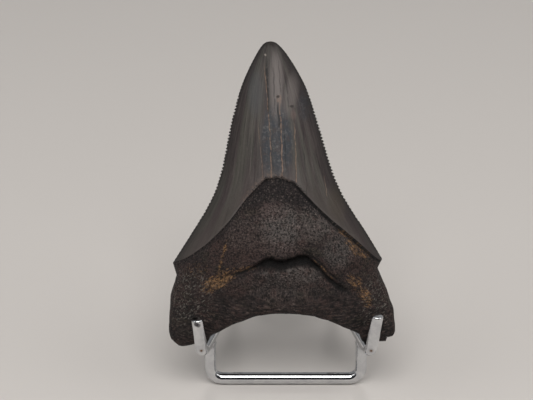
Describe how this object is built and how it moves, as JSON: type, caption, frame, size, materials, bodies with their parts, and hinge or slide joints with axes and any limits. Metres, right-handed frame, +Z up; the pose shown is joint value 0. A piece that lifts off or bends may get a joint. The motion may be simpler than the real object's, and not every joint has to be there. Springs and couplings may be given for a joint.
{
  "type": "fossil shark tooth on a wire stand",
  "caption": "Serrated triangular fossil megalodon tooth, leaning back on a small chrome wire display stand with front prongs and a backrest.",
  "frame": {"origin": "centre of the bounding box's bottom face, on the surface that the stand stands on", "axes": "+Z up, -Y out of the tooth's displayed face, +X to the right of someone facing that face"},
  "size_m": [0.0594, 0.055, 0.0874],
  "materials": {
    "fossil_tooth": "semi-gloss streaked dark enamel above a matte porous near-black root with tan stains",
    "chrome_rod": "mirror chrome plate"
  },
  "bodies": {
    "root": {"tooth": "fossil_tooth", "cradle_rod": "chrome_rod", "front_foot": "chrome_rod", "rear_leg": "chrome_rod"}
  },
  "joints": []
}
